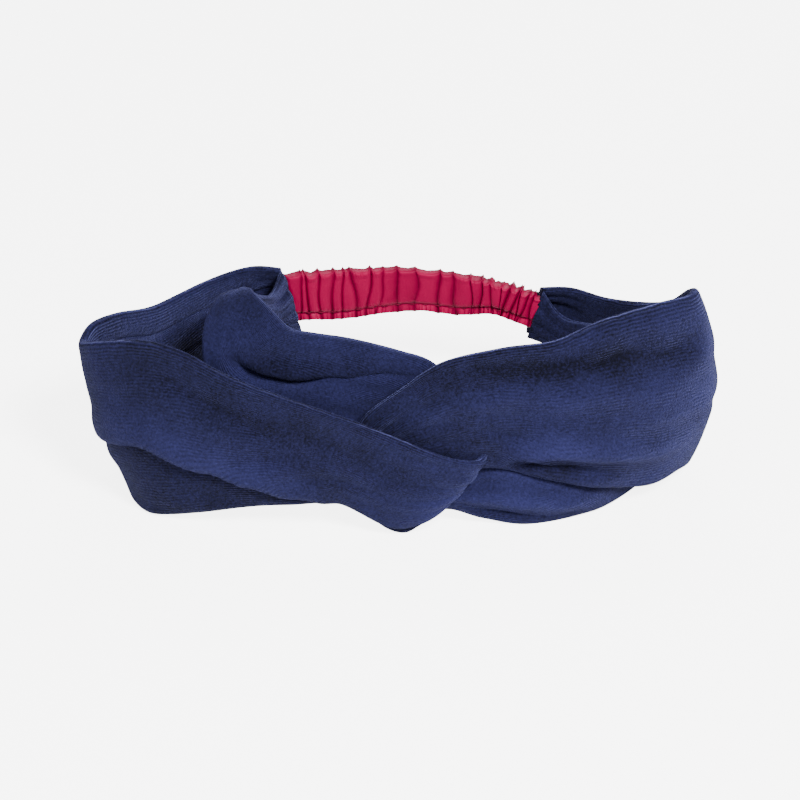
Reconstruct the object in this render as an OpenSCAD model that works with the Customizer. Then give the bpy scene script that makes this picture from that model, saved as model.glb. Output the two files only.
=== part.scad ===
// Knotted headband: two folded velvet-knit straps hooked round each other at the front,
// their ends joined at the back by a satin casing ruched over woven elastic.
// The loop stands on its lower edge. +X runs along its width, +Y to the elastic at the back,
// and z = 0 is the surface that it stands on.

/* [Straps] */
// Overall width of the loop, from one side turn to the other
loop_w = 222; // [180:1:270]
// Height of the loop at its highest point
loop_h = 74; // [60:1:90]
// Thickness of a strap: two walls of knit and the air between
strap_t = 3.4; // [2.4:0.1:4.4]
// Smallest gap kept where two lengths of strap are cut apart at a side turn
turn_gap = 0.3; // [0.2:0.1:1]
// Air between two layers of strap at the knot
knot_gap = 3.2; // [2.4:0.1:4]
// Gap between the casing and the strap ends on each side of it
cuff_gap = 0.6; // [0.3:0.1:1]
// Rings of facets between two neighbouring places on a strap's route
rings_per_step = 3; // [2:1:4]

/* [Elastic] */
// Thickness of the ruched satin casing, front to back
casing_t = 6.4; // [5:0.2:9]
// Height of the tunnel that the elastic lies in
tunnel_h = 12; // [8:0.5:14]
// Thickness of the tunnel
tunnel_t = 2.6; // [1.6:0.1:3]
// Width of the woven elastic
elastic_w = 10; // [6:0.5:12]
// Thickness of the woven elastic
elastic_t = 1; // [0.6:0.1:1.4]

/* [Stitching] */
// Thickness of the sewing thread
thread_d = 0.7; // [0.4:0.1:1]
// Length of a stitch
stitch_len = 3; // [2:0.25:4]
// Space between two stitches in a row
stitch_gap = 2; // [1.5:0.25:3]
// Height of the stitch row above the casing's lower edge
edge_row_up = 3; // [2:0.25:4]
// Thickness of the thread that tacks the elastic's ends
tack_d = 0.4; // [0.3:0.05:0.5]

/* [Hidden] */

// size of the loop that the routes below are drawn at
design_w = 222;
design_h = 74;
sx = loop_w / design_w;
sz = loop_h / design_h;
half_t = strap_t / 2;
// from one layer of the knot to the next, middle to middle
ply = strap_t + knot_gap;
// from the casing's middle to the middle of a strap end beside it
cuff_off = casing_t / 2 + half_t + cuff_gap;
// air between a thread and the cloth beside it: closing seams, cuffs, casing and elastic
seam_air = 0.15;
cuff_air = 0.25;
row_air = 0.1;
tack_air = 0.02;
// stitches in each row of a cuff, and facets round a thread
cuff_stitches = 4;
seam_sides = 8;
stitch_sides = 16;
// steps along the routes: ends of the closing seams, distance of the cuffs' and the elastic's
// stitches from the ends, ends of the casing's stitch rows, and where the casing is split
seam_steps = [14, 18];
cuff_step = 0.25;
tack_step = 0.35;
row_steps = [1, 7];
casing_split = 4;
// half of the stretch of route that a heading is taken over, in steps
heading_step = 0.25;
// share of the width that a strap's rounded edge takes up
edge_share = 0.04;
// how far the tunnel is cut past the casing's ends, in steps
tunnel_over = 0.02;
navy = "midnightblue";
crimson = "crimson";

// A strap's route is a list of [edge, other edge, bow, shift]: the two long edges of the flat
// tube at one place, how far its middle bows out from the straight line between them, and a
// shift along Y that keeps it clear of the layer beside it. Edges given below z = 0 are
// flattened by the surface that the loop stands on.

// left strap, from the side turn along the front, round the right strap, and back behind
left_route = [
    [[-110, -12, 59], [-104, -12, -3], -3, 0],
    [[-107, -19, 60], [-96, -24, -3], -5, 0],
    [[-99, -23, 62], [-88, -33, -3], -5, 0],
    [[-87, -28, 65], [-81, -38, -1], -3.5, 0],
    [[-74, -34, 64], [-69, -41, 4], -3, 0],
    [[-60, -36.8, 60], [-55, -39.8, 7], -2.5, -ply / 2],
    [[-44, -37.4, 54], [-38, -38.9, 9], -2, -ply],
    [[-23, -40.4, 48], [-20, -41.4, 6], -1.5, -ply],
    [[0, -42.4, 39], [-4, -42.4, 0], -1, -ply],
    [[17, -42.9, 32], [7, -42.4, 2], -0.5, -ply],
    [[27, -43.7, 29], [13, -44.2, 6], 0, -ply / 2],
    [[29.5, -42, 28.5], [15, -42.5, 10], 0, 0],
    [[27, -39.8, 31], [12, -41.3, 14], 0, ply / 2],
    [[23, -37.6, 45], [0, -38.6, 22], 0, ply],
    [[12, -33.6, 56], [-12, -36.6, 30], 0, ply],
    [[0, -31.6, 59.5], [-22, -35.6, 34], 0, ply],
    [[-17, -25.3, 63], [-34, -29.3, 36], 0, ply / 2],
    [[-37, -16, 64], [-48, -21, 38], 0, 0],
    [[-52, -9, 67], [-58, -13, 40], 0, 0],
    [[-62, -4, 69], [-65, -6, 42], 0, 0],
    [[-65, 2, 69], [-67, 2, 42], 0, 0]
];

// right strap, from the side turn along the front, round the left strap, and back behind
right_route = [
    [[101, -2, 71], [100, -2, -3], 9, 0],
    [[98, -8, 71.5], [95, -16, -3], 8, 0],
    [[86, -14, 72], [86, -27, 2], 7, 0],
    [[69, -24, 72.5], [69, -36, 10], 6, 0],
    [[52, -30, 71], [53, -38.5, 16], 4, 0],
    [[34, -34, 70], [35, -37, 25], 3, 0],
    [[14, -37, 62], [20, -39.5, 39], 1, 0],
    [[0, -39.5, 52], [9, -40, 36], 0, 0],
    [[-13, -41, 40], [2, -40.5, 29], 0, 0],
    [[-18, -42, 24], [-3, -41.5, 18], 0, 0],
    [[-12, -42.5, 8], [0, -42, 12], 0, 0],
    [[2, -42.5, -2], [8, -42, 9], 0, 0],
    [[15, -42.5, -2], [17, -41.5, 7], 0, 0],
    [[29, -41, -1], [32, -36, 21], 0, 0],
    [[43, -39, -2], [46, -31, 25], 0, 0],
    [[57, -34, -3], [59, -26, 28], 0, 0],
    [[70, -27, -2], [72, -20, 31], 0, 0],
    [[82, -17, 1], [82, -12, 34], 0, 0],
    [[88, -8, 3], [87, -6, 37], 0, 0],
    [[89, -2, 4], [88, -2, 38], 0, 0]
];

// the rear lengths, from the side turns to the cuffs that hold the casing between them
left_outer_route = [
    [[-110, -12, 59], [-104, -12, -3], 3, 0],
    [[-107, -4, 60], [-102, -3, -3], 3, 0],
    [[-99, 4, 59], [-97, 5, -3], 2, 0],
    [[-86, 17, 56], [-86, 18, -1], 1, 0],
    [[-70, 33, 55], [-70, 33, 13], 0, 0],
    [[-53, 40.4, 56.5], [-53, 40.4, 26], 0, cuff_off],
    [[-38, 43.9, 55.5], [-36, 43.9, 31], 0, cuff_off]
];
left_inner_route = [
    [[-65, 2, 69], [-67, 2, 42], 0, 0],
    [[-64, 9, 67], [-66, 9, 40], 0, 0],
    [[-58, 21, 61], [-60, 21, 35], 0, 0],
    [[-49, 37.6, 57], [-50, 37.6, 31], 0, -cuff_off],
    [[-38, 43.3, 55], [-36, 43.3, 31], 0, -cuff_off]
];
right_outer_route = [
    [[101, -2, 71], [100, -2, -3], -9, 0],
    [[100, 7, 67], [99, 7, -3], -7, 0],
    [[95, 17, 58], [94, 17, -3], -4, 0],
    [[85, 28, 54], [85, 28, 3], -2, 0],
    [[73, 38, 51], [73, 38, 14], 0, 0],
    [[61, 41, 49], [60, 41, 24], 0, cuff_off],
    [[50, 43.7, 47], [48, 43.7, 29], 0, cuff_off]
];
right_inner_route = [
    [[89, -2, 4], [88, -2, 38], 0, 0],
    [[88, 7, 8], [87, 7, 41], 0, 0],
    [[81, 20, 16], [80, 20, 45], 0, 0],
    [[71, 30, 23], [70, 30, 47], 0, 0],
    [[60, 40.8, 27], [60, 40.8, 48], 0, -cuff_off],
    [[50, 43, 29], [50, 43, 47], 0, -cuff_off]
];

// the casing's route, its upper and lower edge, from the left cuff to the right one
casing_route = [
    [[-45, 42, 52.5], [-44, 42, 34], 0, 0],
    [[-35, 44.5, 52.7], [-35, 44.5, 34.5], 0, 0],
    [[-20, 47.3, 52.3], [-20, 47.3, 33.5], 0, 0],
    [[-6, 49, 52.2], [-6, 49, 34.8], 0, 0],
    [[7, 49.3, 51.5], [7, 49.3, 35.5], 0, 0],
    [[21, 48.6, 50], [21, 48.6, 34.2], 0, 0],
    [[33, 47, 48.2], [33, 47, 35.5], 0, 0],
    [[45, 44.3, 46], [44, 44.3, 33.5], 0, 0],
    [[56, 42, 45.8], [55, 42, 33], 0, 0]
];

// one place on a route moved to the chosen width and height, then shifted along Y
function sized(p, shift) = [p[0] * sx, p[1] * sx + shift, p[2] * sz];
function sized_route(route) =
    [for (r = route) [sized(r[0], r[3]), sized(r[1], r[3]), r[2] * sx]];

// smooth curve through four values, a fraction t of the way from the second to the third
function through(a, b, c, d, t) =
    0.5 * (2 * b + (c - a) * t + (2 * a - 5 * b + 4 * c - d) * t * t
           + (3 * b - a - 3 * c + d) * t * t * t);

// one column of a route, k = 0, 1 or 2, at a place u counted in steps along it
function along(route, k, u) =
    let (n = len(route) - 1, i = max(0, min(floor(u), n - 1)))
    let (a = route[max(i - 1, 0)][k], b = route[i][k])
    let (c = route[i + 1][k], d = route[min(i + 2, n)][k])
    through(a, b, c, d, u - i);

function unit(v) = v / norm(v);
function middle(route, u) = (along(route, 0, u) + along(route, 1, u)) / 2;
function heading(route, u) =
    let (n = len(route) - 1)
    unit(middle(route, min(u + heading_step, n)) - middle(route, max(u - heading_step, 0)));

// the way out of the strap's face at u: square to its heading and to its width
function outward(route, u) =
    unit(cross(along(route, 0, u) - along(route, 1, u), heading(route, u)));

// places round a flat section: w is the share of the width, and side is the share of the
// half thickness on one face or the other
section = [
    [1, 0], [1 - edge_share, 0.7], [0.8, 1], [0.6, 1], [0.4, 1], [0.2, 1], [edge_share, 0.7],
    [0, 0], [edge_share, -0.7], [0.2, -1], [0.4, -1], [0.6, -1], [0.8, -1], [1 - edge_share, -0.7]
];

// one ring of points; y_cut keeps an end ring in one plane, square to Y, where it is cut
function ring(route, u, half, edge_in, y_cut) =
    let (a = along(route, 0, u), b = along(route, 1, u), bow = along(route, 2, u))
    let (out = outward(route, u), inset = edge_in / norm(a - b))
    let (flat_out = is_undef(y_cut) ? out : unit([out[0], 0, out[2]]))
    [for (s = section)
        let (w = inset + s[0] * (1 - 2 * inset))
        let (arch = max(edge_share, min(1 - edge_share, w)))
        let (p = b + (a - b) * w + flat_out * (4 * arch * (1 - arch) * bow + s[1] * half))
        [p[0], is_undef(y_cut) ? p[1] : y_cut, max(p[2], 0)]];

// closed solid through a list of rings, with flat ends
module skin(rings) {
    n = len(rings[0]);
    m = len(rings);
    sides = [for (i = [0:m - 2]) for (j = [0:n - 1])
        let (a = i * n + j, b = i * n + (j + 1) % n)
        each [[a, b, a + n], [b, b + n, a + n]]];
    ends = [[for (j = [n - 1:-1:0]) j], [for (j = [0:n - 1]) (m - 1) * n + j]];
    polyhedron(points = [for (r = rings) each r], faces = concat(sides, ends), convexity = 6);
}

// a flat tube along a route from step u0 to step u1, cut square to Y at its ends where asked
module strap(route, u0, u1, half, edge_in = 0, y_start = undef, y_end = undef) {
    steps = round((u1 - u0) * rings_per_step);
    skin([for (i = [0:steps])
        let (u = u0 + (u1 - u0) * i / steps)
        ring(route, u, half, edge_in, i == 0 ? y_start : i == steps ? y_end : undef)]);
}

left = sized_route(left_route);
right = sized_route(right_route);
left_outer = sized_route(left_outer_route);
left_inner = sized_route(left_inner_route);
right_outer = sized_route(right_outer_route);
right_inner = sized_route(right_inner_route);
casing = sized_route(casing_route);

// height of the casing where it is split, and the cloth left above and below what lies inside it
split_h = norm(casing[casing_split][0] - casing[casing_split][1]);
tunnel_edge = (split_h - tunnel_h) / 2;
tape_edge = (split_h - elastic_w) / 2;

// a whole route made into a flat tube, its first end cut at the side turn
module tail(route) {
    color(navy) strap(route, 0, len(route) - 1, half_t, 0, route[0][0][1] + turn_gap);
}

module left_strap_front() {
    last = len(left) - 1;
    color(navy) strap(left, 0, last, half_t, 0, left[0][0][1], left[last][0][1]);
}

module right_strap_front() {
    last = len(right) - 1;
    color(navy) strap(right, 0, last, half_t, 0, right[0][0][1], right[last][0][1]);
}

// thread laid along a strap's hidden face, halfway up it
module closing_seam(route) {
    steps = round((seam_steps[1] - seam_steps[0]) * rings_per_step);
    off = half_t + thread_d / 2 + seam_air;
    turn = 360 / seam_sides;
    color(navy) skin([for (i = [0:steps])
        let (u = seam_steps[0] + (seam_steps[1] - seam_steps[0]) * i / steps)
        let (mid = middle(route, u) + outward(route, u) * (along(route, 2, u) - off))
        let (h = heading(route, u), o = outward(route, u), c = cross(h, o))
        [for (j = [0:seam_sides - 1])
            mid + (o * cos(j * turn) + c * sin(j * turn)) * thread_d / 2]]);
}

// one stitch: a short rod of thread lying along direction dir at place p
module stitch(p, dir, length) {
    yaw = atan2(dir[1], dir[0]);
    pitch = acos(dir[2] / norm(dir));
    translate(p) rotate([0, pitch, yaw])
        cylinder(h = length, d = thread_d, center = true, $fn = stitch_sides);
}

// rows of stitches that fasten both strap ends of a cuff, one row on each face
module joint_stitches(outer, inner) {
    for (face = [[outer, 1], [inner, -1]])
        for (i = [0:cuff_stitches - 1])
            let (route = face[0], u = len(route) - 1 - cuff_step)
            let (a = along(route, 0, u), b = along(route, 1, u))
            let (w = (i + 0.8) / (cuff_stitches + 0.6), out = [0, face[1], 0])
            color(navy)
            stitch(b + (a - b) * w + out * (half_t + thread_d / 2 + cuff_air), a - b, stitch_len);
}

// three stitches across the end of the elastic, inside the tunnel, that hold it to the casing
module elastic_tack(u) {
    across = along(casing, 0, u) - along(casing, 1, u);
    rise = unit(across);
    tape_h = norm(across) - 2 * tape_edge;
    off = (elastic_t + tack_d) / 2 + tack_air;
    for (i = [-1:1])
        color("white")
        translate(middle(casing, u) + outward(casing, u) * off + rise * i * tape_h * 0.3)
            rotate([0, atan2(rise[0], rise[2]), 0])
            cylinder(h = tape_h * 0.2, d = tack_d, center = true, $fn = stitch_sides);
}

// half of the casing: ruched satin with a tunnel for the elastic
module casing_half(u0, u1) {
    color(crimson) difference() {
        strap(casing, u0, u1, casing_t / 2);
        strap(casing, u0 - tunnel_over, u1 + tunnel_over, tunnel_t / 2, tunnel_edge);
    }
}

module elastic_half(u0, u1) {
    color("white") strap(casing, u0, u1, elastic_t / 2, tape_edge);
}

// the row of stitches above the casing's lower edge, on the face seen from the front
module casing_stitches(u0, u1) {
    length = norm(middle(casing, u1) - middle(casing, u0));
    count = floor(length / (stitch_len + stitch_gap));
    for (i = [0:count - 1])
        let (u = u0 + (u1 - u0) * (i + 0.5) / count)
        let (a = along(casing, 0, u), b = along(casing, 1, u), out = outward(casing, u))
        let (w = edge_row_up / norm(a - b))
        color(crimson)
        stitch(b + (a - b) * w - out * (casing_t / 2 + thread_d / 2 + row_air),
               heading(casing, u), stitch_len);
}

left_strap_front();
right_strap_front();
tail(left_outer);  // left_outer_tail
tail(left_inner);  // left_inner_tail
tail(right_outer);  // right_outer_tail
tail(right_inner);  // right_inner_tail
closing_seam(left);  // left_closing_seam
closing_seam(right);  // right_closing_seam
joint_stitches(left_outer, left_inner);  // left_joint_stitches
joint_stitches(right_outer, right_inner);  // right_joint_stitches
elastic_tack(tack_step);  // left_elastic_tack
elastic_tack(len(casing) - 1 - tack_step);  // right_elastic_tack
casing_half(0, casing_split);  // casing_left
casing_half(casing_split, len(casing) - 1);  // casing_right
elastic_half(0, casing_split);  // elastic_left
elastic_half(casing_split, len(casing) - 1);  // elastic_right
casing_stitches(row_steps[0], casing_split);  // casing_stitches_left
casing_stitches(casing_split, row_steps[1]);  // casing_stitches_right
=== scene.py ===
"""Knotted headband: the looks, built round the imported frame.

Every soft piece is a surface worked out on a grid of two parameters: how far along the piece, and
how far round its section. Lengths are in metres. +X runs along the loop's width, +Y goes from the
knot to the elastic, and z = 0 is the surface that the loop stands on.
"""

import math

import bpy
import numpy as np
from bpy.props import FloatProperty, FloatVectorProperty, PointerProperty
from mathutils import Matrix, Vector


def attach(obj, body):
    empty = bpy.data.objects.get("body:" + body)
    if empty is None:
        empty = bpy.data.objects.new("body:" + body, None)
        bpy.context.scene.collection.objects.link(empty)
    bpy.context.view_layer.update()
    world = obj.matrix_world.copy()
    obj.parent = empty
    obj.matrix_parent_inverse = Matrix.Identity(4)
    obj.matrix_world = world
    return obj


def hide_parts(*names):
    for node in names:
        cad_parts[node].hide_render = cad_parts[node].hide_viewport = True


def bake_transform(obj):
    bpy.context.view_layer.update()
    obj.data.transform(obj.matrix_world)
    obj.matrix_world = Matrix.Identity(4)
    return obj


bl_info = {
    "name": "Knotted headband",
    "version": (1, 0, 0),
    "blender": (4, 5, 0),
    "location": "View3D > Sidebar > Headband",
    "description": "Builds a twist headband of velvet knit and ruched satin round its packed frame",
    "category": "Add Mesh",
}

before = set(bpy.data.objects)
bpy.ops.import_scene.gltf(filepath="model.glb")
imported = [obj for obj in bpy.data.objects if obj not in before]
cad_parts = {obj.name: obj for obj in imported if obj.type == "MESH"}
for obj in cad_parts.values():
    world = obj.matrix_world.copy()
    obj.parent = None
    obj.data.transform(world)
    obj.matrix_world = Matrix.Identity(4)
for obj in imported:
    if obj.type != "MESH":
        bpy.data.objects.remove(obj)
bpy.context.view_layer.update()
MM = 0.001

# Where each strap lies, place by place, in millimetres: the two long edges of the flat tube, and
# how far its middle bows out from the line between them.
LEFT_ROUTE = [
    ((-42.6, 42.8, 54.4), (-35.8, 43.6, 30), 6),
    ((-53, 41.3, 56), (-53, 42.5, 25), 4),
    ((-70, 33, 55), (-70, 33.5, 12), 1.5),
    ((-86, 17.5, 54.3), (-86, 18, 1.5), 1.5),
    ((-98, 4, 59), (-96, 4, 0.5), 2.5),
    ((-106, -6, 60.5), (-96, -6, 0.5), 2.5),
    ((-109.5, -13, 57.5), (-92, -17, 0.5), 3),
    ((-105.5, -19.5, 60.5), (-90.5, -26, 0.5), 3.5),
    ((-97, -23.5, 63.5), (-86, -34, 0.5), 3.5),
    ((-86, -28.5, 66), (-79, -38, 2), 3.5),
    ((-74, -34, 64.5), (-69, -41, 5), 3),
    ((-60.5, -40, 60), (-55, -43.5, 8.5), 2.5),
    ((-44, -44, 54.5), (-38, -45.5, 11), 2),
    ((-23, -47, 48), (-20, -47.5, 12), 1.6),
    ((0, -49, 39), (-3, -49, 3.8), 1.6),
    ((17, -49.5, 32), (6, -49, 4.5), 1.6),
    ((27, -47.5, 29), (13, -47.5, 9), 0.6),
    ((30, -42, 29.5), (16, -42.5, 12), 0),
    ((27, -36.5, 31), (12, -38, 15), 0),
    ((23, -31, 45), (0, -32, 22), 0),
    ((12, -27, 56), (-12, -30, 30), 0),
    ((0, -25, 60), (-22, -29, 33), -0.5),
    ((-16, -21, 62.5), (-36, -26, 33), -1),
    ((-29, -17, 62.5), (-50, -21.5, 33), -1.5),
    ((-37, -13, 62), (-62, -16, 37), -2),
    ((-41.5, -10, 64.5), (-67.5, -11, 47), -2),
    ((-46.5, -7, 69), (-67.5, -6, 59), -1.5),
    ((-51, -2, 70.5), (-63.5, -0.5, 66), -0.5),
    ((-50.5, 7, 65), (-59, 10, 59), 0),
    ((-47, 19, 57), (-55, 20, 47), 0.5),
    ((-44.8, 32, 52), (-47, 30.5, 35), 1),
    ((-42.6, 41.4, 54.3), (-35.8, 40.2, 29.8), 0.5),
]
RIGHT_ROUTE = [
    ((51.4, 42.6, 46.6), (46, 43.6, 28.5), 5.5),
    ((61, 42.5, 47), (60, 44.5, 23), 4),
    ((73, 38, 46.3), (73, 38, 14), 1.5),
    ((85, 28, 49.7), (85, 28, 3.5), 2.5),
    ((95, 17, 56.5), (94, 17, 0.5), 4),
    ((100, 7, 66), (99, 7, 0.5), 7),
    ((101.5, -2, 71.5), (100.5, -4, 3), 8),
    ((98.5, -8, 72), (96.5, -15, 6.5), 7.5),
    ((86, -15, 72.5), (86, -27, 7.5), 7),
    ((69, -24, 71.5), (69, -36, 12), 6),
    ((52, -30, 66.8), (53, -39, 16.5), 4),
    ((34, -34, 66), (36, -39.5, 21.5), 3),
    ((14, -37, 62), (24, -43.5, 24.5), 2.5),
    ((0, -39.5, 53), (13, -44, 26), 2),
    ((-13, -41, 42), (5, -43, 23), 1),
    ((-18, -42.5, 25), (1, -42, 18), 0),
    ((-10, -44.5, 6), (3, -42.5, 13), 0),
    ((2, -47.3, 0.4), (9, -42.5, 11), 0),
    ((15, -42.5, 7), (18, -40, 17), 0),
    ((29, -42.5, 3), (31, -36, 25), 0.5),
    ((43, -42.2, 0.5), (46, -31.5, 27), 1.5),
    ((57, -38.8, 0.5), (59, -26, 29), 2),
    ((70, -31, 0.8), (72, -20, 31), 2),
    ((82, -19, 2), (82, -12, 34), 1.5),
    ((88, -8, 3.5), (87, -6, 37), 1),
    ((89, 2, 7), (88, 2, 40), 0.5),
    ((86.5, 12, 12), (85.5, 12, 43), 0),
    ((79, 23, 18), (78, 23, 44), 0),
    ((69, 31.5, 23), (69, 31.5, 39), 0),
    ((57.5, 37, 25.5), (58.5, 37.6, 38.5), 0.5),
    ((46, 40.4, 28.5), (51.4, 41.4, 46.4), 0.5),
]
# upper and lower edge of the casing, from inside the left cuff to inside the right one
CASING_ROUTE = [
    ((-42.9, 42.3, 52.4), (-38.5, 42.6, 33.6), 0),
    ((-35, 44.5, 53), (-35, 44.5, 34), 0),
    ((-20, 47.3, 52.6), (-20, 47.3, 33), 0),
    ((-6, 49, 52.3), (-6, 49, 34.3), 0),
    ((7, 49.3, 51.6), (7, 49.3, 35.2), 0),
    ((21, 48.6, 50.1), (21, 48.6, 33.9), 0),
    ((33, 47, 48.3), (33, 47, 35.2), 0),
    ((43.5, 44.3, 46.6), (40, 44.8, 34), 0),
    ((51.4, 42.4, 44.2), (48, 42.6, 31.5), 0),
]
CASING_SPLIT = 4

# Rows and columns of each surface's grid, and fixed sizes of the cloth's own shape, in metres.
STRAP_ROWS, STRAP_COLUMNS = 400, 236
CASING_ROWS, CASING_COLUMNS = 801, 132
TAPE_ROWS, TAPE_COLUMNS = 140, 24
STITCH_RINGS, STITCH_SIDES = 12, 8
EDGE_RADIUS = 2.2 * MM
PLEAT_HEIGHT = 0.35 * MM
PLEAT_STEPS = 2.6
STEEP = 0.06
OVERHANG = 0.5
# painted highlight on the ridges of the lengthwise folds and painted shade in their hollows, as
# lightness per millimetre of fold height
FOLD_PAINTED_LIGHT = 0.13
EDGE_RIBS = 9 * MM
TAPE_RIPPLE = 4 * MM
TAPE_RIPPLE_HEIGHT = 0.15 * MM
CUFF_STEP = 1.25
CUFF_FLAT = 6 * MM
TACK_STEP = 0.35
SEAM_STEPS = (19.5, 24)
CASING_SEAM_STEPS = (1, 7)
ROUTE_SAMPLES = 3000
SEAM_SAMPLES = 400
CUFF_STITCHES = 4
SEAM_FACE = {"left": 1, "right": -1}
INNER_FACE = {"left": 1, "right": -1}
FLOOR_SIZE = 6
FLOOR_GLOW = 5.0
SKY_STRENGTH = 0.25
LENS, SENSOR = 192.1, 36
CAMERA_PLACE = (0.0003, -1.299, 0.7759)
CAMERA_TILT = math.radians(60)

# The satin's folds along the casing, from the left cuff to the right one: share of its length,
# usual distance to the next fold in millimetres, and depth against the usual.
GATHERS = ((0, 3.2, 1), (0.12, 3.6, 0.9), (0.3, 5, 0.75), (0.5, 6, 0.6), (0.68, 7, 0.55),
           (0.74, 2.7, 1.15), (0.95, 2.5, 1.15), (1, 3, 1))
SMALL_GATHERS = ((0, 1.7, 1), (1, 1.7, 1))

# Lengthwise folds: each is a list of (step along the route, share of the width from the lower
# edge, height of the ridge in millimetres, half widths of its lower and upper slopes as shares of
# the strap's width). A steep lower slope makes a ledge.
LEFT_FOLDS = [
    # two lengthwise folds of the rear length
    ((0.6, 0.72, 0, 0.04, 0.1), (1.2, 0.77, -1.4, 0.04, 0.1), (2.3, 0.85, -1.8, 0.03, 0.1),
     (4, 0.88, -1.6, 0.03, 0.1), (5.4, 0.92, 0, 0.04, 0.1)),
    ((0.6, 0.4, 0, 0.04, 0.1), (2, 0.55, -1.6, 0.03, 0.14), (3.6, 0.66, -2, 0.03, 0.14),
     (5, 0.75, 0, 0.04, 0.1)),
    # the ledge along the front, over the part of the strap that is tucked under it
    ((5.5, 0.46, 0, 0.03, 0.1), (6.4, 0.47, 2.2, 0.025, 0.12), (8.3, 0.49, 3.6, 0.022, 0.16),
     (10.5, 0.37, 4.2, 0.022, 0.18), (11.4, 0.28, 4, 0.025, 0.18), (12.1, 0.17, 3, 0.03, 0.18),
     (13, 0.02, 0, 0.04, 0.16)),
    # a long soft hollow along the middle of the front, and one swelling
    ((8, 0.78, 0, 0.12, 0.1), (11, 0.74, -1.5, 0.12, 0.1), (14, 0.62, -1.3, 0.16, 0.16),
     (16, 0.6, 0, 0.2, 0.2)),
    ((8.5, 0.62, 0, 0.1, 0.1), (10.5, 0.6, 0.8, 0.1, 0.1), (13, 0.5, 0.5, 0.16, 0.16),
     (15, 0.4, 0, 0.16, 0.16)),
    # behind the knot the upper half lies over the lower half
    ((19.5, 0.88, 0, 0.05, 0.1), (20.8, 0.82, -1.2, 0.04, 0.12), (21.7, 0.66, -2.4, 0.03, 0.18),
     (22.7, 0.56, -3.4, 0.03, 0.22), (23.6, 0.54, -3.4, 0.03, 0.22), (24.3, 0.49, -2, 0.05, 0.2),
     (25, 0.34, 0, 0.1, 0.2)),
    ((21.8, 0.5, 0, 0.1, 0.05), (22.8, 0.46, 1.6, 0.09, 0.05), (23.6, 0.45, 1.8, 0.09, 0.05),
     (24.6, 0.4, 0, 0.1, 0.06)),
    ((19, 0.4, 0, 0.1, 0.1), (21.5, 0.32, -1.2, 0.1, 0.1), (24, 0.22, -1.6, 0.1, 0.1),
     (26, 0.16, 0, 0.1, 0.1)),
]
RIGHT_FOLDS = [
    # the ridge above the hollow near the knot, and the hollow under it
    ((6.8, 0.22, 0, 0.04, 0.07), (8, 0.22, 1.4, 0.035, 0.08), (9, 0.24, 2.6, 0.03, 0.09),
     (9.9, 0.27, 3.8, 0.03, 0.1), (10.5, 0.22, 3.2, 0.03, 0.1), (11.3, 0.06, 0, 0.04, 0.1)),
    ((7.4, 0.12, 0, 0.06, 0.05), (8.6, 0.12, -1.2, 0.06, 0.05), (9.6, 0.14, -2.6, 0.06, 0.05),
     (10.3, 0.12, -2, 0.05, 0.04), (11, 0.04, 0, 0.05, 0.05)),
    # the shallow hollow across the broad front, and the swellings above and below it
    ((6.6, 0.75, 0, 0.08, 0.08), (7.6, 0.75, -2.2, 0.08, 0.07), (9, 0.78, -2.4, 0.08, 0.07),
     (10.8, 0.84, -1.8, 0.1, 0.08), (12.4, 0.88, 0, 0.12, 0.08)),
    ((6.8, 0.9, 0, 0.06, 0.06), (8, 0.92, 1.2, 0.06, 0.06), (9.6, 0.94, 0.8, 0.06, 0.06),
     (11, 0.96, 0, 0.06, 0.06)),
    ((7, 0.53, 0, 0.1, 0.08), (8.2, 0.56, 1.6, 0.1, 0.08), (10, 0.62, 2, 0.14, 0.1),
     (12, 0.6, 1.6, 0.16, 0.12), (13.6, 0.6, 0, 0.14, 0.1)),
    ((4.6, 0.32, 0, 0.05, 0.1), (6, 0.45, 1, 0.05, 0.1), (8, 0.42, 1, 0.05, 0.1),
     (9.2, 0.38, 0, 0.05, 0.1)),
    # the ridge of the length that comes back under the knot
    ((17.6, 0.6, 0, 0.1, 0.06), (18.8, 0.66, 2, 0.1, 0.05), (20, 0.72, 2.4, 0.1, 0.05),
     (21, 0.81, 1.8, 0.1, 0.05), (22, 0.92, 0, 0.1, 0.05)),
    ((18, 0.84, 0, 0.06, 0.1), (19.4, 0.84, -3.2, 0.05, 0.14), (21, 0.92, -1.5, 0.05, 0.1),
     (22, 0.96, 0, 0.05, 0.1)),
]

# Painted light and shade along each strap, partly the lie of the pile's nap and partly standing in
# for how the light falls on it, with painted shade in the slot at the rear of the left strap: step
# along the route, lightness of the lower half and of the upper half.
LEFT_NAP_AND_PAINTED_LIGHT = ((0, 0, 0.1), (2.5, -0.9, 0.3), (5, -0.6, 0.1), (7, 0, 0.1), (9, -0.1, -0.05),
            (12, -0.1, 0), (14, 0.15, 0.1), (16, 0.6, 0.35), (18, 0.3, 0.3), (20, 0.25, 0.35),
            (23, 0.5, 0.35), (25, 0.5, 0.25), (27, 0.2, 0.1), (31, -0.1, -0.1))
RIGHT_NAP_AND_PAINTED_LIGHT = ((0, 0, 0), (3, 0.1, 0), (5, 0.2, 0.05), (7, 0.2, 0.1), (9, 0.15, -0.1),
             (11, 0.05, -0.1), (13, -0.1, -0.05), (17, -0.2, 0), (18.5, 0.25, 0.25),
             (20, 0.6, 0.3), (23, 0.5, 0.2), (25, 0, 0), (30, -0.1, -0.1))

# Route, folds, painted light and shade with the nap, side that the face is on, seed of the wrinkles
# and wing of each strap.
STRAPS = {
    "left": (LEFT_ROUTE, LEFT_FOLDS, LEFT_NAP_AND_PAINTED_LIGHT, 1, 3, "left_wing"),
    "right": (RIGHT_ROUTE, RIGHT_FOLDS, RIGHT_NAP_AND_PAINTED_LIGHT, -1, 17, "right_wing"),
}
# two distances back from the knot for each strap: nearest and furthest Y, in millimetres
BENDS = {"left": (-12, 22), "right": (-4, 25)}


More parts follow.
